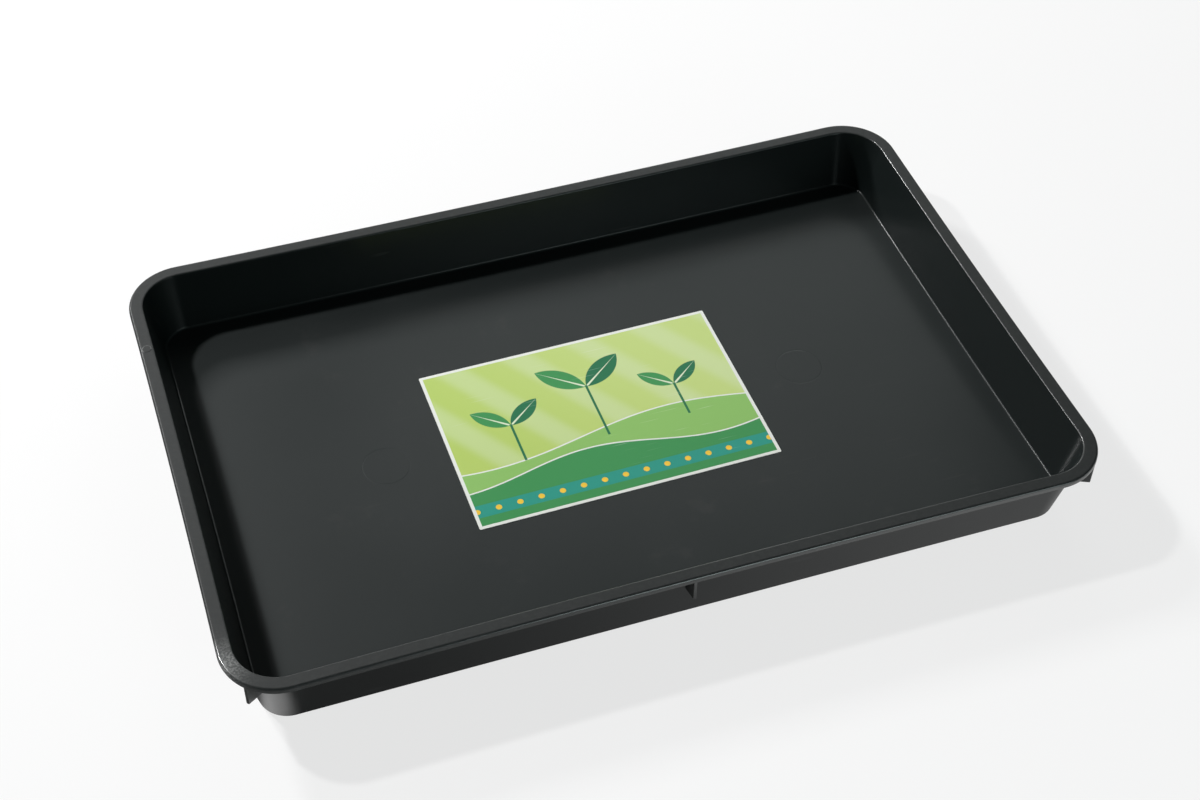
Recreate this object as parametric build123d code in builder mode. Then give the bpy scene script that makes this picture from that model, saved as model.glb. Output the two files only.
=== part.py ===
from build123d import *
import os
from math import cos, radians, sin, tan

# A shallow black potting tray: one plastic moulding with a printed sticker on its floor.
# Millimetres. +Z is up, X runs along the long side, and the origin is the middle of the foot.

# Rim: a flat band round the mouth with a turned-down lip
rim_length = 570.0
rim_width = 376.0
rim_corner_radius = 39.0
rim_band = 9.4
rim_thickness = 2.2
lip_height = 4.2
lip_thickness = 1.8
rim_outer_round = 1.0
rim_inner_round = 1.4
lip_lower_round = 0.4

# Walls, floor and foot: the wall runs on below the floor as a skirt that the tray stands on
well_depth = 43.0
wall_thickness = 2.0
wall_draft = 12.4
floor_thickness = 2.0
floor_fillet = 1.8
foot_depth = 9.0
foot_thickness = 2.0
foot_inner_draft = 1.0
foot_outer_round = 0.6

# Stacking nibs: thin webs under the rim that hold nested trays apart, deepest at the wall
nib_thickness = 2.0
nib_tip_depth = 19.5
nib_root_depth = 25.0
nib_tip_round = 0.8
corner_nib_angle = 45.0

# Round mould inserts that leave a fine line in the floor
insert_mark_spacing = 295.0
insert_mark_radius = 16.3
insert_mark_line = 0.8
insert_mark_depth = 0.2

# Sticker: a printed film on a film of adhesive, put on by hand a little off square
label_length = 210.0
label_width = 143.0
label_corner_radius = 1.0
label_thickness = 0.12
adhesive_thickness = 0.05
label_shift_x = 0.8
label_shift_y = -1.5
label_turn = 0.64

# Heights worked out from the sizes above
tray_height = well_depth + floor_thickness + foot_depth
floor_top = foot_depth + floor_thickness
draft_slope = tan(radians(wall_draft))
foot_slope = tan(radians(foot_inner_draft))


def outside_inset(depth):
    """Distance in from the rim's outer face to the outside of the wall, at a depth below the rim."""
    return rim_band - wall_thickness + depth * draft_slope


def inside_inset(depth):
    """Distance in from the rim's outer face to the inside of the wall, at a depth below the rim."""
    return rim_band + depth * draft_slope


def tray_outline(inset):
    """The tray's rounded outline, drawn in by an inset on every side."""
    RectangleRounded(rim_length - 2 * inset, rim_width - 2 * inset, rim_corner_radius - inset)


def level_face_near(height):
    """The level face of the tray that lies nearest to a height."""
    return min(tray.faces().filter_by(Plane.XY), key=lambda face: abs(face.center().Z - height))


def nib_plane(x, y, inward_angle):
    """A plane across the rim at a point of its edge: local X points inwards and local Y up."""
    inward = (cos(radians(inward_angle)), sin(radians(inward_angle)), 0)
    along = (sin(radians(inward_angle)), -cos(radians(inward_angle)), 0)
    return Plane(origin=(x, y, tray_height), x_dir=inward, z_dir=along)


# One nib at the middle of each long side and one on each rounded corner
corner_x = rim_length / 2 - rim_corner_radius
corner_y = rim_width / 2 - rim_corner_radius
corner_reach_x = corner_x + rim_corner_radius * cos(radians(corner_nib_angle))
corner_reach_y = corner_y + rim_corner_radius * sin(radians(corner_nib_angle))
nib_planes = [
    nib_plane(0, -rim_width / 2, 90),
    nib_plane(0, rim_width / 2, 270),
    nib_plane(-corner_reach_x, -corner_reach_y, corner_nib_angle),
    nib_plane(corner_reach_x, -corner_reach_y, 180 - corner_nib_angle),
    nib_plane(corner_reach_x, corner_reach_y, 180 + corner_nib_angle),
    nib_plane(-corner_reach_x, corner_reach_y, 360 - corner_nib_angle),
]

with BuildPart() as tray:
    # Outside of the walls, from the foot to the top of the rim
    with BuildSketch(Plane.XY):
        tray_outline(outside_inset(tray_height))
    with BuildSketch(Plane.XY.offset(tray_height)):
        tray_outline(outside_inset(0))
    loft(ruled=True)

    # Flat rim, then the lip that turns down at its edge
    with BuildSketch(Plane.XY.offset(tray_height)):
        tray_outline(0)
    extrude(amount=-rim_thickness)
    with BuildSketch(Plane.XY.offset(tray_height)):
        tray_outline(0)
        offset(amount=-lip_thickness, mode=Mode.SUBTRACT)
    extrude(amount=-lip_height)

    # The well, and the hollow under the floor
    with BuildSketch(Plane.XY.offset(floor_top)):
        tray_outline(inside_inset(well_depth))
    with BuildSketch(Plane.XY.offset(tray_height)):
        tray_outline(inside_inset(0))
    loft(ruled=True, mode=Mode.SUBTRACT)
    foot_inset = outside_inset(tray_height) + foot_thickness
    with BuildSketch(Plane.XY):
        tray_outline(foot_inset)
    with BuildSketch(Plane.XY.offset(foot_depth)):
        tray_outline(foot_inset + foot_depth * foot_slope)
    loft(ruled=True, mode=Mode.SUBTRACT)

    # Rounded edges: the rim's two top edges, the lip, the foot and the floor's edge
    rim_top = tray.faces().sort_by(Axis.Z)[-1]
    rim_outer_edges = rim_top.outer_wire().edges()
    rim_inner_edges = rim_top.inner_wires()[0].edges()
    fillet(rim_outer_edges, radius=rim_outer_round)
    fillet(rim_inner_edges, radius=rim_inner_round)
    lip_foot = level_face_near(tray_height - lip_height)
    fillet(lip_foot.outer_wire().edges(), radius=lip_lower_round)
    foot_face = tray.faces().sort_by(Axis.Z)[0]
    fillet(foot_face.outer_wire().edges(), radius=foot_outer_round)
    floor_face = level_face_near(floor_top)
    fillet(floor_face.outer_wire().edges(), radius=floor_fillet)

    # Stacking nibs, each a web from the lip's outer face back to the wall
    for plane in nib_planes:
        with BuildSketch(plane):
            with BuildLine():
                wall_at_root = outside_inset(nib_root_depth) + wall_thickness / 2
                wall_at_rim = outside_inset(rim_thickness) + wall_thickness / 2
                Polyline(
                    (lip_thickness / 2, -rim_thickness / 2),
                    (lip_thickness / 2, -lip_height / 2),
                    (0, -lip_height / 2),
                    (0, -nib_tip_depth),
                    (wall_at_root, -nib_root_depth),
                    (wall_at_rim, -rim_thickness / 2),
                    close=True,
                )
            make_face()
            nib_tip = vertices().group_by(Axis.X)[0].sort_by(Axis.Y)[0]
            fillet(nib_tip, radius=nib_tip_round)
        extrude(amount=nib_thickness / 2, both=True)

    # Fine round lines that the mould inserts leave in the floor
    with BuildSketch(Plane.XY.offset(floor_top)):
        with GridLocations(insert_mark_spacing, 0, 2, 1):
            Circle(insert_mark_radius)
            Circle(insert_mark_radius - insert_mark_line, mode=Mode.SUBTRACT)
    extrude(amount=-insert_mark_depth, mode=Mode.SUBTRACT)

# Sticker: the adhesive lies on the floor and the printed film lies on the adhesive
sticker_place = Location((label_shift_x, label_shift_y, floor_top), (0, 0, label_turn))

with BuildPart() as label_adhesive:
    with BuildSketch(Plane(sticker_place)):
        RectangleRounded(label_length, label_width, label_corner_radius)
    extrude(amount=adhesive_thickness)

with BuildPart() as label:
    with BuildSketch(Plane(sticker_place).offset(adhesive_thickness)):
        RectangleRounded(label_length, label_width, label_corner_radius)
    extrude(amount=label_thickness)

tray.part.label = "tray"
label.part.label = "label"
label_adhesive.part.label = "label_adhesive"

os.makedirs("parts", exist_ok=True)
for piece in (tray.part, label.part, label_adhesive.part):
    export_step(piece, f"parts/{piece.label}.step")
    print(piece.label, len(piece.solids()), "solid,", round(piece.volume / 1000, 2), "cm3")
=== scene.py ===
# %% [markdown]
# A black potting tray with a printed sticker on its floor. The imported CAD model fixes the size
# and the place of every piece, so it is loaded first and nothing here is fitted by eye.

# %% Load the imported frame
from math import atan2, cos, exp, pi, radians, sin, tan

import bmesh
import bpy
from mathutils import Matrix, Vector


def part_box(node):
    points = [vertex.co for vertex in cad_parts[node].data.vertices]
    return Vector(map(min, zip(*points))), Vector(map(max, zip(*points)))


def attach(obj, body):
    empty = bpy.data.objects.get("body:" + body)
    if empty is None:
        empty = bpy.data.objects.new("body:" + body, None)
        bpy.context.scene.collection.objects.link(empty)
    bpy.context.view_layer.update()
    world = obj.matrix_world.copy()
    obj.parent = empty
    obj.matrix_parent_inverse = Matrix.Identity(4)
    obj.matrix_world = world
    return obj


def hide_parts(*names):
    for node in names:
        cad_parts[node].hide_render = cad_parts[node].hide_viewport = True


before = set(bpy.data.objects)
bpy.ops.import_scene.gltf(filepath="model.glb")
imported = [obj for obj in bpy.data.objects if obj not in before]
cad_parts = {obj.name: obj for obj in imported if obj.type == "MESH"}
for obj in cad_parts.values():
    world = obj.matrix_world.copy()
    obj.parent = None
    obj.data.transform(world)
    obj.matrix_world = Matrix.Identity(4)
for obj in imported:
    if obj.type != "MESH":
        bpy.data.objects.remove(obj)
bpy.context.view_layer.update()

# %% [markdown]
# Sizes first. Blender works in metres, and a moulder thinks in millimetres, so each size is
# written in millimetres and turned into metres once. The outside of the tray and the height of
# its floor are read from the frame, and only the wall's own section is written out here.

# %% Sizes of the moulding
MM = 0.001

tray_low, tray_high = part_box("tray")
half_length = tray_high.x
half_width = tray_high.y
rim_top = tray_high.z
floor_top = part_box("label_adhesive")[0].z

rim_corner_radius = 39.0 * MM
rim_band = 9.4 * MM
rim_thickness = 2.2 * MM
rim_outer_round = 1.7 * MM
rim_inner_round = 1.4 * MM
lip_height = 4.2 * MM
lip_thickness = 1.8 * MM
lip_lower_round = 0.4 * MM
wall_thickness = 2.0 * MM
wall_draft = radians(12.4)
floor_thickness = 2.0 * MM
floor_fillet = 1.8 * MM
foot_thickness = 2.0 * MM
foot_inner_draft = radians(1.0)
foot_round = 0.6 * MM
inner_corner_round = 0.5 * MM
floor_margin = 6.0 * MM
weld_distance = 0.01 * MM

well_depth = rim_top - floor_top
foot_depth = floor_top - floor_thickness
corner_x = half_length - rim_corner_radius
corner_y = half_width - rim_corner_radius
print(f"tray {2 * half_length / MM:.1f} x {2 * half_width / MM:.1f} x {rim_top / MM:.1f} mm")

# %% [markdown]
# The wall's section. Every wall of the tray has the same section: floor edge, drafted wall, flat
# rim, turned-down lip, and back down the outside to the foot and up under the floor. It could be
# cut out of a solid block with many booleans, but one section that is swept round the tray gives
# clean long quads and real rounded edges. The section starts as a few vertices, and a vertex bevel
# rounds each corner by its own radius.


# %% Draw the wall's section
def wall_outside(depth):
    """Distance in from the rim's edge to the outside of the wall, at a depth below the rim."""
    return rim_band - wall_thickness + depth * tan(wall_draft)


def wall_inside(depth):
    """Distance in from the rim's edge to the inside of the wall, at a depth below the rim."""
    return rim_band + depth * tan(wall_draft)


def round_corner(bm, corner, radius, segments):
    """Rounds one corner of a wire outline to a radius."""
    before, after = (edge.other_vert(corner).co - corner.co for edge in corner.link_edges)
    turn = pi - before.angle(after)
    bmesh.ops.bevel(
        bm, geom=[corner], offset=radius * tan(turn / 2), offset_type="OFFSET",
        affect="VERTICES", segments=segments, profile=0.5, material=-1,
    )


def draw_wall_section(bm):
    """The open outline of the wall across the middle of the front, from floor to underside."""
    floor_edge = wall_inside(well_depth)
    foot_edge = wall_outside(rim_top)
    skirt_foot = foot_edge + foot_thickness
    skirt_top = skirt_foot + foot_depth * tan(foot_inner_draft)
    rim_under = rim_top - rim_thickness
    lip_foot = rim_top - lip_height
    corners = [
        (floor_edge + floor_margin, floor_top, 0, 0),
        (floor_edge, floor_top, floor_fillet, 6),
        (rim_band, rim_top, rim_inner_round, 6),
        (0, rim_top, rim_outer_round, 10),
        (0, lip_foot, lip_lower_round, 4),
        (lip_thickness, lip_foot, lip_lower_round, 3),
        (lip_thickness, rim_under, inner_corner_round, 2),
        (wall_outside(rim_thickness), rim_under, inner_corner_round, 3),
        (foot_edge, 0, foot_round, 4),
        (skirt_foot, 0, foot_round, 3),
        (skirt_top, foot_depth, inner_corner_round, 3),
        (skirt_top + floor_margin, foot_depth, 0, 0),
    ]
    points = [bm.verts.new((0, inset - half_width, height)) for inset, height, _, _ in corners]
    for start, end in zip(points, points[1:]):
        bm.edges.new((start, end))
    for point, (_, _, radius, segments) in zip(points, corners):
        if radius:
            round_corner(bm, point, radius, segments)


tray_bm = bmesh.new()
draw_wall_section(tray_bm)
print("wall section:", len(tray_bm.verts), "points")

# %% [markdown]
# Sweep the section round a quarter of the tray: extrude along half of the front, spin it a quarter
# turn about the corner's centre, and extrude along half of the right side. Two mirrors make the
# whole wall. A quarter is enough because the moulding is the same about both middle planes.

# %% Sweep the wall and mirror it
front_steps = 20
corner_steps = 20
side_steps = 14


def extend(bm, edges, step, count):
    """Extrudes a wire outline along a step, a number of times, and returns its last edges."""
    for _ in range(count):
        made = bmesh.ops.extrude_edge_only(bm, edges=edges)["geom"]
        edges = [item for item in made if isinstance(item, bmesh.types.BMEdge)]
        ends = [item for item in made if isinstance(item, bmesh.types.BMVert)]
        bmesh.ops.translate(bm, vec=step, verts=ends)
    return edges


def sweep_quarter(bm):
    """Carries the section along half of the front, round the corner and along half of the side."""
    front_end = extend(bm, bm.edges[:], Vector((corner_x / front_steps, 0, 0)), front_steps)
    front_end_points = list({vert for edge in front_end for vert in edge.verts})
    turned = bmesh.ops.spin(
        bm, geom=front_end + front_end_points, cent=(corner_x, -corner_y, 0), axis=(0, 0, 1),
        angle=pi / 2, steps=corner_steps, use_merge=False,
    )["geom_last"]
    side_start = [item for item in turned if isinstance(item, bmesh.types.BMEdge)]
    extend(bm, side_start, Vector((0, corner_y / side_steps, 0)), side_steps)


def mirror_whole(bm, axis):
    """Mirrors all of a mesh across the plane of one axis and welds the seam."""
    geometry = bm.verts[:] + bm.edges[:] + bm.faces[:]
    bmesh.ops.mirror(bm, geom=geometry, matrix=Matrix(), merge_dist=weld_distance, axis=axis)


sweep_quarter(tray_bm)
mirror_whole(tray_bm, "Y")
mirror_whole(tray_bm, "X")
bmesh.ops.remove_doubles(tray_bm, verts=tray_bm.verts[:], dist=weld_distance)
print("wall:", len(tray_bm.faces), "faces")

# %% [markdown]
# Close the floor. On the real tray two round inserts of the mould leave a fine circular line in
# the floor. Each line is a shallow V groove: three circles bridged into two sloping bands, with a
# disc inside. Triangle fill then closes the floor between the walls and the two grooves, and it
# closes the plain underside as well.

# %% Fill the floor and the underside
insert_spacing = 295.0 * MM
insert_radius = 16.3 * MM
insert_line = 0.9 * MM
insert_depth = 0.06 * MM
insert_middle_x = 1.0 * MM
insert_middle_y = -2.1 * MM
insert_sides = 72


def circle_edges(bm, x, y, z, radius, filled=False):
    """Adds a level circle and returns its edges."""
    place = Matrix.Translation((x, y, z))
    made = bmesh.ops.create_circle(
        bm, cap_ends=filled, radius=radius, segments=insert_sides, matrix=place,
    )
    return list({edge for vert in made["verts"] for edge in vert.link_edges})


def insert_mark(bm, x, y):
    """A fine round groove in the floor. Returns its outer edges, which the floor is filled up to."""
    outer = circle_edges(bm, x, y, floor_top, insert_radius)
    bottom = circle_edges(bm, x, y, floor_top - insert_depth, insert_radius - insert_line / 2)
    inner = circle_edges(bm, x, y, floor_top, insert_radius - insert_line, filled=True)
    bmesh.ops.bridge_loops(bm, edges=outer + bottom)
    bmesh.ops.bridge_loops(bm, edges=bottom + inner)
    return outer


def fill_floor(bm):
    """Closes the floor round the insert marks, and the underside."""
    open_edges = [edge for edge in bm.edges if edge.is_boundary]
    middle = (floor_top + foot_depth) / 2
    floor_edges = [edge for edge in open_edges if edge.verts[0].co.z > middle]
    under_edges = [edge for edge in open_edges if edge.verts[0].co.z < middle]
    for side in (-1, 1):
        x = insert_middle_x + side * insert_spacing / 2
        floor_edges += insert_mark(bm, x, insert_middle_y)
    bmesh.ops.triangle_fill(bm, use_beauty=True, edges=floor_edges, normal=(0, 0, 1))
    bmesh.ops.triangle_fill(bm, use_beauty=True, edges=under_edges, normal=(0, 0, -1))


def open_edge_count(bm):
    """How many edges don't have exactly two faces."""
    return sum(not edge.is_manifold for edge in bm.edges)


fill_floor(tray_bm)
bmesh.ops.recalc_face_normals(tray_bm, faces=tray_bm.faces[:])
print("tray shell:", len(tray_bm.faces), "faces,", open_edge_count(tray_bm), "open edges")

# %% [markdown]
# Stacking nibs. Six thin webs under the rim hold nested trays apart: one at the middle of each
# long side and one on each rounded corner. Each is a four-sided face, extruded and bevelled, and
# set on the rim by a matrix. Its top is buried in the rim and its back in the wall, and its lower
# edge slopes down to the wall.

# %% Make the nibs
nib_thickness = 2.0 * MM
nib_tip_depth = 19.5 * MM
nib_root_depth = 25.0 * MM
nib_edge_round = 0.3 * MM
nib_setback = 0.06 * MM


def rim_matrix(x, y, inward_angle):
    """A frame at a point of the rim's edge: its X points inwards, its Y up and its Z along the rim."""
    inward = Vector((cos(inward_angle), sin(inward_angle), 0))
    upward = Vector((0, 0, 1))
    turn = Matrix((inward, upward, inward.cross(upward))).transposed()
    return Matrix.Translation((x, y, rim_top)) @ turn.to_4x4()


def nib_places():
    """The frames of the six nibs."""
    reach = rim_corner_radius * cos(pi / 4)
    places = [rim_matrix(0, -half_width, pi / 2), rim_matrix(0, half_width, -pi / 2)]
    for x_side in (-1, 1):
        for y_side in (-1, 1):
            x = x_side * (corner_x + reach)
            y = y_side * (corner_y + reach)
            places.append(rim_matrix(x, y, atan2(-y_side, -x_side)))
    return places


def make_nib(place):
    """One web as a mesh: a tapering plate with rounded edges."""
    wall_at_root = wall_outside(nib_root_depth) + wall_thickness / 2
    wall_at_rim = wall_outside(rim_thickness) + wall_thickness / 2
    outline = [
        (nib_setback, -rim_thickness / 2),
        (nib_setback, -nib_tip_depth),
        (wall_at_root, -nib_root_depth),
        (wall_at_rim, -rim_thickness / 2),
    ]
    bm = bmesh.new()
    side = bm.faces.new([bm.verts.new((x, y, -nib_thickness / 2)) for x, y in outline])
    made = bmesh.ops.extrude_face_region(bm, geom=[side])["geom"]
    far_points = [item for item in made if isinstance(item, bmesh.types.BMVert)]
    bmesh.ops.translate(bm, vec=(0, 0, nib_thickness), verts=far_points)
    tips = [vert for vert in bm.verts if vert.co.x < lip_thickness and vert.co.y < -lip_height]
    tip_edges = list({edge for vert in tips for edge in vert.link_edges})
    bmesh.ops.bevel(
        bm, geom=tip_edges, offset=nib_edge_round, offset_type="OFFSET", affect="EDGES",
        segments=2, profile=0.5, material=-1,
    )
    bmesh.ops.recalc_face_normals(bm, faces=bm.faces[:])
    bmesh.ops.transform(bm, matrix=place, verts=bm.verts[:])
    mesh = bpy.data.meshes.new("nib")
    bm.to_mesh(mesh)
    bm.free()
    return mesh


nib_meshes = [make_nib(place) for place in nib_places()]
print("nibs:", len(nib_meshes), "with", len(nib_meshes[0].polygons), "faces each")

# %% [markdown]
# Join the nibs to the shell. Left as they are, the nibs would have faces inside the wall. An exact
# boolean union removes those and keeps the tray one closed skin, as the moulding is. A low round pad
# is joined to the left rim as well, where an ejector pin of the mould stood a little short. The tools
# of the boolean are taken away afterwards.

# %% Join the nibs and the pin pad
pin_pad_middle = Vector((4.85 * MM - half_length, 111.8 * MM, rim_top))
pin_pad_radius = 3.4 * MM
pin_pad_slope = 0.5 * MM
pin_pad_height = 0.2 * MM
pin_pad_edge = 0.25 * MM
pin_pad_sides = 48


def new_object(name, mesh):
    """Puts a mesh in the scene as an object at the origin."""
    made = bpy.data.objects.new(name, mesh)
    bpy.context.scene.collection.objects.link(made)
    return made


def make_pin_pad():
    """A low round pad with a sloping edge, half sunk into the top of the left rim."""
    bm = bmesh.new()
    bmesh.ops.create_cone(
        bm, cap_ends=True, segments=pin_pad_sides, radius1=pin_pad_radius + pin_pad_slope,
        radius2=pin_pad_radius - pin_pad_slope, depth=2 * pin_pad_height,
        matrix=Matrix.Translation(pin_pad_middle),
    )
    top = max(bm.faces, key=lambda face: face.calc_center_median().z)
    bmesh.ops.inset_region(bm, faces=[top], thickness=pin_pad_edge, use_even_offset=True)
    mesh = bpy.data.meshes.new("pin_pad")
    bm.to_mesh(mesh)
    bm.free()
    return mesh


def apply_booleans(piece, tools):
    """Joins or cuts each tool into a piece and removes the tools."""
    for tool, operation in tools:
        modifier = piece.modifiers.new(tool.name, "BOOLEAN")
        modifier.operation = operation
        modifier.solver = "EXACT"
        modifier.object = tool
    evaluated = piece.evaluated_get(bpy.context.evaluated_depsgraph_get())
    joined = bpy.data.meshes.new_from_object(evaluated)
    bm = bmesh.new()
    bm.from_mesh(joined)
    bmesh.ops.dissolve_degenerate(bm, dist=weld_distance / 10, edges=bm.edges[:])
    print("joined mesh:", open_edge_count(bm), "open edges")
    bm.to_mesh(joined)
    bm.free()
    piece.modifiers.clear()
    piece.data = joined
    for tool, _ in tools:
        bpy.data.objects.remove(tool)


tray_mesh = bpy.data.meshes.new("tray_moulding")
tray_bm.to_mesh(tray_mesh)
tray_bm.free()
tray = new_object("tray_moulding", tray_mesh)
tools = [(new_object("nib", mesh), "UNION") for mesh in nib_meshes]
tools.append((new_object("pin_pad", make_pin_pad()), "UNION"))
apply_booleans(tray, tools)
print("tray with nibs:", len(tray.data.polygons), "faces")

# %% [markdown]
# Mark the worn places and the painted highlights. The rim and its lip take all the handling, so they are dull,
# while their rounded edges are polished by rubbing, the left inner edge least. A pale speckled patch on the rim's
# front-left corner sits where the key lamp's highlight falls: a painted highlight with scuff speckle. The back half
# of the pin pad's edge is painted pale as well, a painted highlight. Each vertex keeps four marks for the finish,
# worked out from how far it lies in from the rim's outline and how far below the rim. This comes after the joins, so
# new vertices get marks too.


# %% Mark the worn places and the painted highlights
# The pale corner patch, a painted highlight with scuff speckle, is centred where the key lamp's highlight falls.
scuff_highlight_turn = 196.0
scuff_highlight_size = 13.0 * MM
inner_edge_polish = 0.55
left_edge_polish = 0.2
outer_wall_polish = 0.45


def outward_of(point):
    """The way out from the inner rectangle whose corners are the centres of the rounded corners."""
    return Vector((max(abs(point.x) - corner_x, 0), max(abs(point.y) - corner_y, 0)))


def mark_wear_and_highlights(mesh):
    """Stores where the plastic is handled, on rim and lip, polished, on its edges, and where the pale painted
    highlights go.
    """
    names = ("on_floor", "handled", "polished", "scuff_and_highlight")
    for name in names:
        mesh.attributes.new(name, "FLOAT", "POINT")
    on_floor, handled, polished, scuff_and_highlight = (mesh.attributes[name].data for name in names)
    turn = radians(scuff_highlight_turn)
    scuff_highlight_spot = Vector((-corner_x, -corner_y)) + rim_corner_radius * Vector((cos(turn), sin(turn)))
    for vertex in mesh.vertices:
        outward = outward_of(vertex.co)
        inset = rim_corner_radius - outward.length
        below_rim = rim_top - vertex.co.z
        above_floor = vertex.co.z - floor_top
        floor_share = 1 - max(above_floor, 0) / (0.7 * floor_fillet)
        in_well = inset > wall_inside(well_depth) - floor_fillet and above_floor > -floor_thickness / 2
        rim_face = inset < rim_band and below_rim < 0.3 * rim_inner_round
        lip_face = inset < 0.6 * lip_thickness and below_rim < lip_height + weld_distance
        outer_edge = inset < rim_outer_round and below_rim > weld_distance
        top_of_round = weld_distance < below_rim < 0.6 * rim_inner_round
        inner_edge = top_of_round and inset > rim_band - rim_inner_round
        left_side = vertex.co.x < -corner_x
        under_rim = below_rim > rim_thickness - weld_distance and inset > lip_thickness
        outer_wall = under_rim and inset < wall_outside(below_rim) + wall_thickness / 2
        inner_wall = under_rim and not outer_wall and vertex.co.z > floor_top + weld_distance
        corner_share = 2 * outward.x * outward.y / rim_corner_radius ** 2
        polish = 0.0
        dull_edge = left_side and vertex.co.y > -corner_y
        if outer_edge:
            polish = 0.0 if dull_edge else 1.0
        elif inner_edge:
            polish = left_edge_polish if left_side else inner_edge_polish
        elif outer_wall:
            polish = outer_wall_polish + (corner_share if left_side else 0.0)
        elif inner_wall and vertex.co.y > 0:
            polish = corner_share
        # Painted highlight with scuff speckle: a pale patch on the rim's front-left corner, where the key lamp's
        # highlight falls.
        near_scuff_highlight = exp(-((vertex.co.xy - scuff_highlight_spot).length / scuff_highlight_size) ** 2)
        from_pad = vertex.co - pin_pad_middle
        pad_edge = from_pad.z > weld_distance and from_pad.xy.length > pin_pad_radius - pin_pad_slope - weld_distance
        # Painted highlight: the back half of the pin pad's edge is made pale.
        pad_edge_highlight = pad_edge and from_pad.y > -0.3 * pin_pad_radius
        on_floor[vertex.index].value = max(floor_share, 0.0) if in_well else 0.0
        handled[vertex.index].value = float(rim_face or lip_face)
        polished[vertex.index].value = min(polish, 1.0)
        scuff_and_highlight[vertex.index].value = near_scuff_highlight if rim_face or outer_edge else 0.0
        # The pad's back edge takes the full pale colour: a painted highlight.
        if pad_edge_highlight:
            scuff_and_highlight[vertex.index].value = 1.0


mark_wear_and_highlights(tray.data)
print("marks:", [attribute.name for attribute in tray.data.attributes if attribute.domain == "POINT"])

# %% [markdown]
# Draw the sides in. A long thin moulded wall pulls inwards a little between its corners as it cools,
# most at the rim and least at the foot. The vertices are moved by a smooth formula: nothing at the
# corners, most at the middle of a side. It is a vertex move and not a change of the section, because
# the pull differs along the side.

# %% Draw the sides in
long_side_pull = {0.0: 0.8 * MM, floor_top: 1.8 * MM, rim_top: 2.5 * MM}
short_side_pull = {0.0: 0.5 * MM, floor_top: 1.0 * MM, rim_top: 1.4 * MM}


def pull_at(pulls, height):
    """The pull at a height, on straight lines between the stated heights."""
    heights = sorted(pulls)
    for low, high in zip(heights, heights[1:]):
        if height <= high:
            share = max(0.0, (height - low) / (high - low))
            return pulls[low] + share * (pulls[high] - pulls[low])
    return pulls[heights[-1]]


def drawn_in(point):
    """Where a point of the tray goes when the sides draw in."""
    outward = outward_of(point)
    if outward.length == 0:
        return point
    outward.normalize()
    short_pull = pull_at(short_side_pull, point.z) * (1 - (point.y / half_width) ** 2)
    long_pull = pull_at(long_side_pull, point.z) * (1 - (point.x / half_length) ** 2)
    x = point.x - (short_pull * outward.x if point.x > 0 else -short_pull * outward.x)
    y = point.y - (long_pull * outward.y if point.y > 0 else -long_pull * outward.y)
    return Vector((x, y, point.z))


for vertex in tray.data.vertices:
    vertex.co = drawn_in(vertex.co)
print(f"sides drawn in by up to {long_side_pull[rim_top] / MM:.1f} mm")

# %% [markdown]
# Smooth shading. The rounds are real geometry, so the faces are shaded smooth and only edges sharper
# than the angle below stay crisp. Weighted normals let the large flat faces keep flat shading while
# the small rounds turn the light. The insert marks and the pin pad are so shallow that smoothing would
# wipe them out, so their round edges are kept crisp as well.

# %% Shade the tray
crisp_angle = radians(38)


def shade(piece):
    """Smooth shading with crisp edges where faces meet sharply."""
    piece.data.shade_smooth()
    piece.data.set_sharp_from_angle(angle=crisp_angle)
    weighted = piece.modifiers.new("weighted_normals", "WEIGHTED_NORMAL")
    weighted.keep_sharp = True


def keep_round_edges(mesh, x, y, level, reach):
    """Makes the edges that run round a shallow mark crisp."""
    middle = Vector((x, y, level))
    for edge in mesh.edges:
        first, second = (mesh.vertices[index].co - middle for index in edge.vertices)
        near = max(first.length, second.length) < reach
        if near and abs(first.xy.length - second.xy.length) < 0.1 * MM:
            edge.use_edge_sharp = True


shade(tray)
for side in (-1, 1):
    mark_x = insert_middle_x + side * insert_spacing / 2
    keep_round_edges(tray.data, mark_x, insert_middle_y, floor_top, insert_radius + insert_line)
drawn_pad = drawn_in(pin_pad_middle)
keep_round_edges(tray.data, drawn_pad.x, drawn_pad.y, rim_top, pin_pad_radius + pin_pad_slope)
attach(tray, "root")
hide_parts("tray")
print("tray rides on root and stands for the CAD tray")


# %% [markdown]
# The sticker is a printed film. Its outline starts as a grid of one face: the four corners get a
# vertex bevel, the face is extruded to the film's thickness and its cut edge is softened. Then the
# film is turned a little and moved, because it was put on by hand and sits just off square.

# %% Make the sticker's film
film_low, film_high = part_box("label")
film_middle = (film_low + film_high) / 2
film_length = 210.0 * MM
film_width = 143.0 * MM
film_turn = radians(0.64)
film_corner_round = 1.0 * MM
film_thickness = film_high.z - film_low.z
film_edge_round = 0.25 * film_thickness


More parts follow.
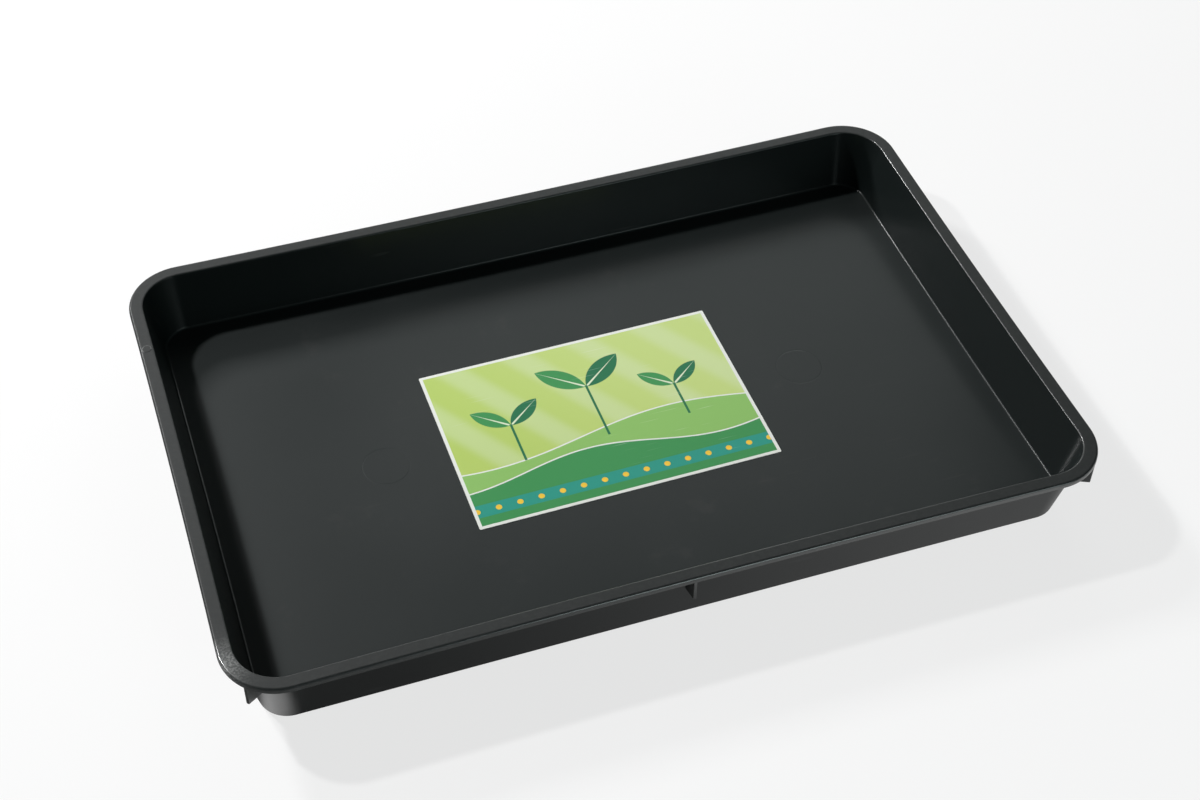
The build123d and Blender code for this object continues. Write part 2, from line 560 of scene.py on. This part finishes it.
def make_film():
    """The film as a thin plate with rounded corners and a soft cut edge."""
    bm = bmesh.new()
    bmesh.ops.create_grid(bm, x_segments=1, y_segments=1, size=0.5)
    bmesh.ops.scale(bm, vec=(film_length, film_width, 1), verts=bm.verts[:])
    bmesh.ops.bevel(
        bm, geom=bm.verts[:], offset=film_corner_round, offset_type="OFFSET", affect="VERTICES",
        segments=5, profile=0.5, material=-1,
    )
    made = bmesh.ops.extrude_face_region(bm, geom=bm.faces[:])["geom"]
    top_points = [item for item in made if isinstance(item, bmesh.types.BMVert)]
    bmesh.ops.translate(bm, vec=(0, 0, film_thickness), verts=top_points)
    top_edges = [edge for edge in bm.edges if min(v.co.z for v in edge.verts) > film_thickness / 2]
    bmesh.ops.bevel(
        bm, geom=top_edges, offset=film_edge_round, offset_type="OFFSET", affect="EDGES",
        segments=2, profile=0.5, material=-1,
    )
    bmesh.ops.recalc_face_normals(bm, faces=bm.faces[:])
    bmesh.ops.rotate(bm, cent=(0, 0, 0), matrix=Matrix.Rotation(film_turn, 3, "Z"), verts=bm.verts[:])
    bmesh.ops.translate(bm, vec=(film_middle.x, film_middle.y, film_low.z), verts=bm.verts[:])
    mesh = bpy.data.meshes.new("sticker_film")
    bm.to_mesh(mesh)
    bm.free()
    return mesh


film = new_object("sticker_film", make_film())
shade(film)
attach(film, "root")
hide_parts("label")
print(f"film {film_length / MM:.0f} x {film_width / MM:.0f} x {film_thickness / MM:.2f} mm")

# %% [markdown]
# Helpers for finishes. A material is a tree of nodes, and writing one by hand takes many lines of
# sockets and links, so a few short helpers carry that. A value given as a socket is linked, and a
# plain number or colour is set on the socket itself.


# %% Helpers for node trees
def add_node(tree, kind, inputs=None, **settings):
    """Adds a node, sets its options, and links or sets its inputs."""
    made = tree.nodes.new(kind)
    for name, value in settings.items():
        setattr(made, name, value)
    for name, value in (inputs or {}).items():
        if isinstance(value, bpy.types.NodeSocket):
            tree.links.new(value, made.inputs[name])
        else:
            made.inputs[name].default_value = value
    return made


def calc(tree, operation, first, second=0.0):
    """One step of arithmetic."""
    return add_node(tree, "ShaderNodeMath", {0: first, 1: second}, operation=operation).outputs[0]


def fade(tree, value, start, end, low=0.0, high=1.0):
    """Runs smoothly from low to high as a value goes from start to end."""
    inputs = {"Value": value, "From Min": start, "From Max": end, "To Min": low, "To Max": high}
    made = add_node(tree, "ShaderNodeMapRange", inputs, interpolation_type="SMOOTHSTEP")
    return made.outputs["Result"]


def blend_colour(tree, share, first, second):
    """Goes from one colour to another by a share."""
    made = add_node(tree, "ShaderNodeMix", {0: share, 6: first, 7: second}, data_type="RGBA")
    return made.outputs[2]


def noise(tree, place, scale, detail=2.0, roughness=0.5):
    """Cloudy noise at a number of clouds per metre."""
    inputs = {"Vector": place, "Scale": scale, "Detail": detail, "Roughness": roughness}
    return add_node(tree, "ShaderNodeTexNoise", inputs).outputs["Fac"]


def object_place(tree):
    """The coordinates of a piece, which are its place in the frame."""
    return add_node(tree, "ShaderNodeTexCoord").outputs["Object"]


def new_material(name):
    """An empty material, with its tree and its Principled shader."""
    material = bpy.data.materials.new(name)
    material.use_nodes = True
    tree = material.node_tree
    tree.nodes.clear()
    shader = add_node(tree, "ShaderNodeBsdfPrincipled")
    add_node(tree, "ShaderNodeOutputMaterial", {"Surface": shader.outputs["BSDF"]})
    return material, tree, shader


def from_screen(red, green, blue):
    """A colour as a screen shows it, 0 to 255, in the linear values that shaders use."""
    parts = [part / 255 for part in (red, green, blue)]
    linear = [p / 12.92 if p <= 0.04045 else ((p + 0.055) / 1.055) ** 2.4 for p in parts]
    return (*linear, 1.0)


def set_finish(piece, material):
    """Gives a piece one material."""
    piece.data.materials.clear()
    piece.data.materials.append(material)
    print(f"{piece.name}: {material.name}, {len(material.node_tree.nodes)} nodes")


# %% [markdown]
# Handling marks. A tray like this is stacked, carried and packed, so its plastic and its sticker both
# carry faint smears and a few fine straight scratches. Both finishes use the same marks, so they are
# one node group with its own sizes as inputs. It only puts out masks, and each finish decides what a
# smear or a scratch does to its own colour and gloss.

# %% Build the handling marks group
scratch_directions = ((radians(29), (1, 40, 1)), (radians(-52), (1, 30, 1)))


def build_handling_marks():
    """Smears and two directions of fine scratches, as masks from 0 to 1."""
    group = bpy.data.node_groups.new("handling_marks", "ShaderNodeTree")
    for name, kind in (("Place", "Vector"), ("Smears per metre", "Float"), ("Scratches per metre", "Float")):
        group.interface.new_socket(name, in_out="INPUT", socket_type="NodeSocket" + kind)
    for name in ("Smears", "Scratches"):
        group.interface.new_socket(name, in_out="OUTPUT", socket_type="NodeSocketFloat")
    given = group.nodes.new("NodeGroupInput").outputs
    smears = fade(group, noise(group, given["Place"], given["Smears per metre"], 4.0, 0.55), 0.36, 0.70)
    scratches = None
    for turn, squeeze in scratch_directions:
        inputs = {"Vector": given["Place"], "Rotation": (0, 0, turn), "Scale": squeeze}
        along = add_node(group, "ShaderNodeMapping", inputs).outputs["Vector"]
        streaks = fade(group, noise(group, along, given["Scratches per metre"], 1.0), 0.71, 0.76)
        patches = fade(group, noise(group, given["Place"], given["Smears per metre"], 1.0), 0.55, 0.68)
        marks = calc(group, "MULTIPLY", streaks, patches)
        scratches = marks if scratches is None else calc(group, "MAXIMUM", scratches, marks)
    add_node(group, "NodeGroupOutput", {"Smears": smears, "Scratches": scratches})
    return group


def add_handling_marks(tree, place, smears_per_metre, scratches_per_metre):
    """Places the group in a finish and returns its two masks."""
    marks = add_node(tree, "ShaderNodeGroup", node_tree=handling_marks)
    tree.links.new(place, marks.inputs["Place"])
    marks.inputs["Smears per metre"].default_value = smears_per_metre
    marks.inputs["Scratches per metre"].default_value = scratches_per_metre
    return marks.outputs["Smears"], marks.outputs["Scratches"]


handling_marks = build_handling_marks()
print("handling marks:", len(handling_marks.nodes), "nodes")

# %% [markdown]
# Black moulded plastic. The mould is polished, so floor and walls have a soft gloss, and the rim,
# which takes all the handling, is duller and greyer. The walls are given a far darker colour than the floor,
# with almost no red: painted shade, as floor and walls are one moulding. The plastic is clean and even, so its
# smears, smudges, scratches and flow marks stay faint. A pale speckled patch on the front-left corner of the rim
# and the back edge of the pin pad are painted highlights. The rubbed edges come from the marks stored on the
# vertices, and a fine grain and long shallow waves bump the normal. Colour, roughness and coat all change with these
# masks.

# %% Make the black plastic
plastic_black = (0.0142, 0.0185, 0.0184, 1.0)
plastic_flow = (0.0162, 0.0206, 0.0205, 1.0)
# Painted shade: the walls' colour is the floor's plastic made far darker and with almost no red.
plastic_wall_painted_shade = (0.0002, 0.0034, 0.0033, 1.0)
plastic_scratched = (0.045, 0.046, 0.046, 1.0)
plastic_rim = (0.0342, 0.0368, 0.0365, 1.0)
# Pale grey for the painted highlights: the corner patch with its scuff speckle, and the pin pad's back edge.
plastic_scuff_and_highlight = (0.30, 0.305, 0.30, 1.0)


def make_tray_plastic():
    """Black plastic: soft gloss inside, duller and rubbed on the rim."""
    material, tree, shader = new_material("tray_plastic")
    place = object_place(tree)
    on_floor = add_node(tree, "ShaderNodeAttribute", attribute_name="on_floor").outputs["Fac"]
    on_wall = calc(tree, "SUBTRACT", 1.0, on_floor)
    handled = add_node(tree, "ShaderNodeAttribute", attribute_name="handled").outputs["Fac"]
    polished = add_node(tree, "ShaderNodeAttribute", attribute_name="polished").outputs["Fac"]
    scuff_and_highlight = add_node(tree, "ShaderNodeAttribute", attribute_name="scuff_and_highlight").outputs["Fac"]
    smears, scratches = add_handling_marks(tree, place, 14.0, 20.0)
    mottle = fade(tree, noise(tree, place, 240.0, 4.0, 0.6), 0.38, 0.68)
    rim_share = calc(tree, "MULTIPLY", handled, fade(tree, mottle, 0.0, 1.0, 0.88, 1.0))
    speckle = fade(tree, noise(tree, place, 650.0, 3.0, 0.6), 0.40, 0.62, 0.25, 0.9)
    colour = blend_colour(tree, smears, plastic_black, plastic_flow)
    smudges = fade(tree, noise(tree, place, 26.0, 4.0, 0.62), 0.60, 0.76, 0.0, 0.22)
    colour = blend_colour(tree, smudges, colour, plastic_scratched)
    # Painted shade: the walls, inside and out, take the far darker wall colour.
    colour = blend_colour(tree, on_wall, colour, plastic_wall_painted_shade)
    colour = blend_colour(tree, calc(tree, "MULTIPLY", scratches, 0.3), colour, plastic_scratched)
    colour = blend_colour(tree, rim_share, colour, plastic_rim)
    # Painted highlights: pale speckle on the rim's front-left corner and on the pin pad's back edge.
    colour = blend_colour(tree, calc(tree, "MULTIPLY", scuff_and_highlight, speckle), colour, plastic_scuff_and_highlight)
    tree.links.new(colour, shader.inputs["Base Color"])
    gloss = fade(tree, smears, 0.0, 1.0, 0.56, 0.60)
    gloss = calc(tree, "ADD", gloss, calc(tree, "MULTIPLY", on_wall, 0.12))
    gloss = calc(tree, "SUBTRACT", gloss, calc(tree, "MULTIPLY", handled, 0.15))
    gloss = calc(tree, "ADD", gloss, calc(tree, "MULTIPLY", scratches, 0.1))
    tree.links.new(fade(tree, polished, 0.0, 1.0, gloss, 0.35), shader.inputs["Roughness"])
    sheen = calc(tree, "SUBTRACT", 0.5, calc(tree, "MULTIPLY", on_wall, 0.25))
    sheen = calc(tree, "SUBTRACT", sheen, calc(tree, "MULTIPLY", handled, 0.15))
    tree.links.new(calc(tree, "MAXIMUM", sheen, polished), shader.inputs["Coat Weight"])
    shader.inputs["Coat Roughness"].default_value = 0.2
    shader.inputs["Specular IOR Level"].default_value = 0.25
    grain = calc(tree, "MULTIPLY", noise(tree, place, 1600.0, 2.0), 0.015)
    waves = calc(tree, "MULTIPLY", noise(tree, place, 14.0, 1.0), 0.4)
    inputs = {"Height": calc(tree, "ADD", grain, waves), "Strength": 0.3, "Distance": 0.1 * MM}
    tree.links.new(add_node(tree, "ShaderNodeBump", inputs).outputs["Normal"], shader.inputs["Normal"])
    shader.inputs["IOR"].default_value = 1.46
    return material


set_finish(tray, make_tray_plastic())

# %% [markdown]
# The sticker's print. The print is drawn with arithmetic on coordinates in millimetres from the middle
# of the sticker: a Mapping node moves and turns the frame's coordinates to it. Each shape is a mask,
# soft by a tenth of a millimetre at its edge, and the masks are laid over each other like inks. First
# come small helpers for the shapes: a band, a disc and a leaf, which is where two circles overlap.

# %% Helpers for printed shapes
ink_edge = 0.12


def inside(tree, distance, limit):
    """1 where a distance is under a limit, with a soft edge."""
    return fade(tree, distance, limit - ink_edge, limit + ink_edge, 1.0, 0.0)


def both(tree, first, second):
    """Where two masks overlap."""
    return calc(tree, "MULTIPLY", first, second)


def moved_to(tree, place, x, y, turn):
    """Coordinates about a point of the print, turned by an angle, as two separate values."""
    inputs = {"Vector": place, "Location": (x, y, 0), "Rotation": (0, 0, turn)}
    local = add_node(tree, "ShaderNodeMapping", inputs, vector_type="TEXTURE").outputs["Vector"]
    parts = add_node(tree, "ShaderNodeSeparateXYZ", {"Vector": local}).outputs
    return parts["X"], parts["Y"]


def length_of(tree, first, second):
    """The length of a pair of values."""
    squares = calc(tree, "ADD", calc(tree, "POWER", first, 2.0), calc(tree, "POWER", second, 2.0))
    return calc(tree, "SQRT", squares)


def leaf(tree, place, x, y, turn, length, width):
    """A pointed leaf with its base at a point, and the rib along its middle."""
    along, across = moved_to(tree, place, x, y, turn)
    from_middle = calc(tree, "SUBTRACT", along, length / 2)
    off_middle = calc(tree, "ABSOLUTE", across)
    circle = (length ** 2 + width ** 2) / (4 * width)
    to_centre = length_of(tree, from_middle, calc(tree, "ADD", off_middle, circle - width / 2))
    body = inside(tree, to_centre, circle)
    rib_width = fade(tree, along, 0.0, length, 0.75, 0.05)
    rib = fade(tree, calc(tree, "SUBTRACT", off_middle, rib_width), -ink_edge, ink_edge, 1.0, 0.0)
    return body, both(tree, rib, inside(tree, to_centre, circle - 0.6))


print("print helpers ready")

# %% [markdown]
# Lay the inks. The ground is a lime fade with soft slanting bands of light. Two hills roll across the
# lower part, each with a thin white edge. Three seedlings stand on the hills, and a row of seeds runs
# along a dark stripe at the foot. A white margin goes round the whole print. The film is satin, and it
# carries the same handling marks as the tray, only fainter.

# %% Make the printed film
ink_white = from_screen(240, 242, 236)
ink_lime = from_screen(188, 213, 108)
ink_light_lime = from_screen(203, 223, 136)
ink_mint = from_screen(226, 239, 208)
ink_mid_green = from_screen(146, 198, 106)
ink_leaf = from_screen(62, 150, 84)
ink_deep = from_screen(28, 116, 76)
ink_teal = from_screen(40, 156, 138)
ink_yellow = from_screen(250, 206, 64)

margin_x = 102.7
margin_y = 69.2
hills = ((-16.0, 9.0, 41.0, 0.4, ink_mid_green), (-34.0, 7.0, 29.0, 2.1, ink_leaf))
hill_line = 0.55
seedlings = ((-58.0, -24.0, 34.0, 30.0), (2.0, -20.0, 48.0, 38.0), (60.0, -19.0, 30.0, 27.0))
stem_width = 0.85
leaf_turns = (radians(38), radians(142))
stripe_middle = -57.0
stripe_half = 5.2
seed_spacing = 14.6
seed_radius = 2.1


def lay_hills(tree, colour, along, up):
    """Rolling hills, each with a white line on its crest."""
    for level, rise, wave, start, ink in hills:
        swing = calc(tree, "SINE", calc(tree, "ADD", calc(tree, "DIVIDE", along, wave), start))
        crest = calc(tree, "ADD", calc(tree, "MULTIPLY", swing, rise), level)
        above = calc(tree, "SUBTRACT", up, crest)
        colour = blend_colour(tree, inside(tree, above, hill_line), colour, ink_white)
        colour = blend_colour(tree, inside(tree, above, -hill_line), colour, ink)
    return colour


def lay_seedlings(tree, colour, place):
    """Seedlings: an upright stem with a pair of leaves at its top."""
    for x, foot, stem, leaf_length in seedlings:
        across, up = moved_to(tree, place, x, foot, 0.0)
        upright = both(tree, inside(tree, calc(tree, "ABSOLUTE", across), stem_width), inside(tree, up, stem))
        upright = both(tree, upright, fade(tree, up, -ink_edge, ink_edge))
        colour = blend_colour(tree, upright, colour, ink_deep)
        for turn, ink in zip(leaf_turns, (ink_deep, ink_leaf)):
            body, rib = leaf(tree, place, x, foot + stem - stem_width, turn, leaf_length, leaf_length * 0.42)
            colour = blend_colour(tree, body, colour, ink)
            colour = blend_colour(tree, rib, colour, ink_mint)
    return colour


def lay_seed_row(tree, colour, along, up):
    """A dark stripe with a row of round seeds."""
    off_stripe = calc(tree, "SUBTRACT", up, stripe_middle)
    colour = blend_colour(tree, inside(tree, calc(tree, "ABSOLUTE", off_stripe), stripe_half), colour, ink_teal)
    off_seed = calc(tree, "PINGPONG", along, seed_spacing / 2)
    seeds = inside(tree, length_of(tree, off_seed, off_stripe), seed_radius)
    return blend_colour(tree, seeds, colour, ink_yellow)


def make_printed_film():
    """Satin film with its print."""
    material, tree, shader = new_material("printed_film")
    place = object_place(tree)
    inputs = {"Vector": place, "Location": (film_middle.x, film_middle.y, 0), "Rotation": (0, 0, film_turn)}
    inputs["Scale"] = (MM, MM, MM)
    print_place = add_node(tree, "ShaderNodeMapping", inputs, vector_type="TEXTURE").outputs["Vector"]
    along, up = moved_to(tree, print_place, 0.0, 0.0, 0.0)
    slant, _ = moved_to(tree, print_place, 0.0, 0.0, radians(34))
    rays = calc(tree, "SINE", calc(tree, "DIVIDE", slant, 6.2))
    colour = blend_colour(tree, fade(tree, slant, -95.0, 95.0), ink_lime, ink_light_lime)
    colour = blend_colour(tree, fade(tree, rays, -0.6, 1.0, 0.0, 0.32), colour, ink_mint)
    colour = lay_hills(tree, colour, along, up)
    colour = lay_seed_row(tree, colour, along, up)
    colour = lay_seedlings(tree, colour, print_place)
    within = both(
        tree,
        inside(tree, calc(tree, "ABSOLUTE", along), margin_x),
        inside(tree, calc(tree, "ABSOLUTE", up), margin_y),
    )
    colour = blend_colour(tree, within, ink_white, colour)
    smears, scratches = add_handling_marks(tree, place, 22.0, 26.0)
    colour = blend_colour(tree, calc(tree, "MULTIPLY", scratches, 0.25), colour, ink_white)
    tree.links.new(colour, shader.inputs["Base Color"])
    tree.links.new(fade(tree, smears, 0.0, 1.0, 0.36, 0.44), shader.inputs["Roughness"])
    inputs = {"Height": noise(tree, place, 60.0, 2.0), "Strength": 0.25, "Distance": 0.1 * MM}
    tree.links.new(add_node(tree, "ShaderNodeBump", inputs).outputs["Normal"], shader.inputs["Normal"])
    shader.inputs["IOR"].default_value = 1.46
    return material


set_finish(film, make_printed_film())

# %% [markdown]
# The adhesive is a clear tacky film under the sticker. Only its edge can be seen, so the CAD solid
# stays as it is and only gets a finish: a pale, cloudy colour with uneven gloss.

# %% Finish the adhesive
adhesive_clear = (0.55, 0.53, 0.47, 1.0)
adhesive_cloudy = (0.68, 0.66, 0.60, 1.0)


def make_adhesive():
    """Pale cloudy adhesive with uneven gloss."""
    material, tree, shader = new_material("sticker_adhesive")
    clouds = noise(tree, object_place(tree), 90.0, 3.0)
    tree.links.new(blend_colour(tree, clouds, adhesive_clear, adhesive_cloudy), shader.inputs["Base Color"])
    tree.links.new(fade(tree, clouds, 0.3, 0.7, 0.2, 0.4), shader.inputs["Roughness"])
    return material


set_finish(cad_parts["label_adhesive"], make_adhesive())

# %% [markdown]
# The camera stands where the photograph was taken: above the tray, to the left of its middle, with a
# moderate tele lens. Its eye, direction and focal length come from matching the tray's own outline, so
# they are written as the measured values.

# %% Set the camera
image_width = 1200
focal_length_px = 1947.7
optical_centre_px = 549.5
sensor_width_mm = 36.0
eye = Vector((-303.8, -850.9, 972.9)) * MM
view_turn = radians(17.696)
view_drop = radians(46.409)
view_roll = radians(-0.413)


def make_camera():
    """A camera with its eye, direction and roll as measured."""
    ahead = cos(view_drop)
    forward = Vector((sin(view_turn) * ahead, cos(view_turn) * ahead, -sin(view_drop)))
    level = Vector((cos(view_turn), -sin(view_turn), 0))
    right = cos(view_roll) * level + sin(view_roll) * level.cross(forward)
    facing = Matrix((right, right.cross(forward), -forward)).transposed()
    data = bpy.data.cameras.new("camera")
    data.sensor_width = sensor_width_mm
    data.lens = focal_length_px / image_width * sensor_width_mm
    data.shift_x = 0.5 - optical_centre_px / image_width
    camera = new_object("camera", data)
    camera.matrix_world = Matrix.Translation(eye) @ facing.to_4x4()
    return camera


bpy.context.scene.camera = make_camera()
print(f"lens {bpy.context.scene.camera.data.lens:.1f} mm")

# %% [markdown]
# Light. The key lamp stands behind the tray to the left, so the left and back walls throw a clean dark
# band on the floor. Two long soft panels at the back right are there for the gloss: the floor mirrors
# them to the camera, and along the right and back walls it mirrors the dark wall instead. Each lamp is
# placed by its compass angle, its height angle and its distance from the middle of the tray.

# %% Set the lamps
white_light = (1.0, 1.0, 1.0)
panel_light = (0.96, 1.0, 0.985)
cool_light = (0.85, 1.0, 1.0)
lamps = {
    "key": (139.5, 46.3, 2.29, 0.12, 0.12, 29.0, white_light),
    "second_key": (118.2, 32.6, 3.16, 0.3, 0.5, 65.0, white_light),
    "low_panel": (64.0, 24.0, 1.7, 0.5, 0.5, 1.8, panel_light),
    "high_panel": (64.0, 41.0, 1.7, 0.95, 0.8, 1.75, panel_light),
    "back_strip": (88.0, 6.0, 1.7, 1.4, 0.2, 2.5, white_light),
    "front_card": (-75.0, 14.0, 1.7, 0.5, 0.5, 4.4, cool_light),
    "side_card": (-58.0, 14.0, 1.7, 0.5, 0.5, 1.8, cool_light),
}


def add_lamp(name, compass, rise, distance, width, depth, power, colour):
    """A rectangular lamp that points at the tray and that the camera doesn't see."""
    data = bpy.data.lights.new(name, "AREA")
    data.shape = "RECTANGLE"
    data.size = width
    data.size_y = depth
    data.energy = power
    data.color = colour
    lamp = new_object(name, data)
    reach = distance * cos(radians(rise))
    place = Vector((reach * cos(radians(compass)), reach * sin(radians(compass)), distance * sin(radians(rise))))
    turn = (-place).to_track_quat("-Z", "Y")
    lamp.matrix_world = Matrix.Translation(place) @ turn.to_matrix().to_4x4()
    lamp.visible_camera = False


for name, settings in lamps.items():
    add_lamp(name, *settings)
print("lamps:", ", ".join(lamps))

# %% [markdown]
# Floor and surroundings. The tray stands on white paper. To the camera the paper is part white light,
# so the background is white and the shadow stays light. The front wall mirrors the paper just before it,
# and for gloss alone the paper glows in a set pattern, a painted reflection: weak to the left, stronger to the
# right and further ahead of the rim, with one bright patch at the foot of the front-left corner. The surroundings
# give a little even light, and gloss sees a white band along the horizon.

# %% Set the floor and the surroundings
paper_white = (0.92, 0.92, 0.92, 1.0)
paper_glow = 0.75
# Strengths of the paper's glow for gloss alone: a painted reflection in the tray's walls and lip.
mirrored_left = 0.125
mirrored_right = 0.52
mirrored_ahead = 1.8
ahead_of_rim = 50.0 * MM
# A bright patch of that painted reflection, at the foot of the front-left corner.
bright_patch = Vector((-264.0, -174.0, 0.0)) * MM
bright_patch_size = 26.0 * MM
ambient = (0.02, 0.024, 0.024, 1.0)
horizon_top = 0.3
horizon_share = 0.1


def make_paper():
    """White paper that glows for the camera, and for gloss in a painted reflection that grows to the right."""
    material, tree, shader = new_material("studio_paper")
    shader.inputs["Base Color"].default_value = paper_white
    shader.inputs["Roughness"].default_value = 0.9
    place = object_place(tree)
    parts = add_node(tree, "ShaderNodeSeparateXYZ", {"Vector": place}).outputs
    rays = add_node(tree, "ShaderNodeLightPath").outputs
    seen = calc(tree, "MAXIMUM", rays["Is Camera Ray"], rays["Is Transmission Ray"])
    # Painted reflection: gloss sees the paper glow by a ramp from left to right, stronger ahead of the rim, and
    # brighter in one patch.
    mirrored = fade(tree, parts["X"], -half_length, half_length, mirrored_left, mirrored_right)
    ahead = fade(tree, parts["Y"], -half_width - ahead_of_rim, -half_width, mirrored_ahead, 1.0)
    gap = add_node(tree, "ShaderNodeVectorMath", {0: place, 1: bright_patch}, operation="DISTANCE").outputs["Value"]
    patch = fade(tree, gap, 0.3 * bright_patch_size, bright_patch_size, 1.0, 0.0)
    mirrored = calc(tree, "MAXIMUM", both(tree, mirrored, ahead), patch)
    strength = calc(tree, "ADD", seen, both(tree, rays["Is Glossy Ray"], mirrored))
    share = calc(tree, "MAXIMUM", calc(tree, "MULTIPLY", seen, paper_glow), rays["Is Glossy Ray"])
    glow = add_node(tree, "ShaderNodeEmission", {"Strength": strength})
    inputs = {0: share, 1: shader.outputs["BSDF"], 2: glow.outputs["Emission"]}
    mixed = add_node(tree, "ShaderNodeMixShader", inputs)
    tree.links.new(mixed.outputs["Shader"], tree.nodes["Material Output"].inputs["Surface"])
    return material


def make_surroundings():
    """Dim even light, and for the camera and gloss a white band along the horizon."""
    world = bpy.data.worlds.new("studio")
    world.use_nodes = True
    tree = world.node_tree
    tree.nodes.clear()
    up = add_node(tree, "ShaderNodeSeparateXYZ", {"Vector": object_place(tree)}).outputs["Z"]
    rays = add_node(tree, "ShaderNodeLightPath").outputs
    seen = calc(tree, "MAXIMUM", rays["Is Camera Ray"], rays["Is Transmission Ray"])
    band = fade(tree, up, 0.0, horizon_top, horizon_share, 0.0)
    share = calc(tree, "MAXIMUM", seen, both(tree, rays["Is Glossy Ray"], band))
    colour = blend_colour(tree, share, ambient, (1.0, 1.0, 1.0, 1.0))
    light = add_node(tree, "ShaderNodeBackground", {"Color": colour})
    add_node(tree, "ShaderNodeOutputWorld", {"Surface": light.outputs["Background"]})
    return world


def make_paper_sheet():
    """A large level sheet under the tray."""
    bm = bmesh.new()
    bmesh.ops.create_grid(bm, x_segments=1, y_segments=1, size=12.0)
    mesh = bpy.data.meshes.new("studio_paper")
    bm.to_mesh(mesh)
    bm.free()
    return mesh


paper = new_object("studio_paper", make_paper_sheet())
set_finish(paper, make_paper())
bpy.context.scene.world = make_surroundings()

# %% [markdown]
# The last step sets the standard view transform.

# %% Hand over
bpy.context.scene.view_settings.view_transform = "Standard"
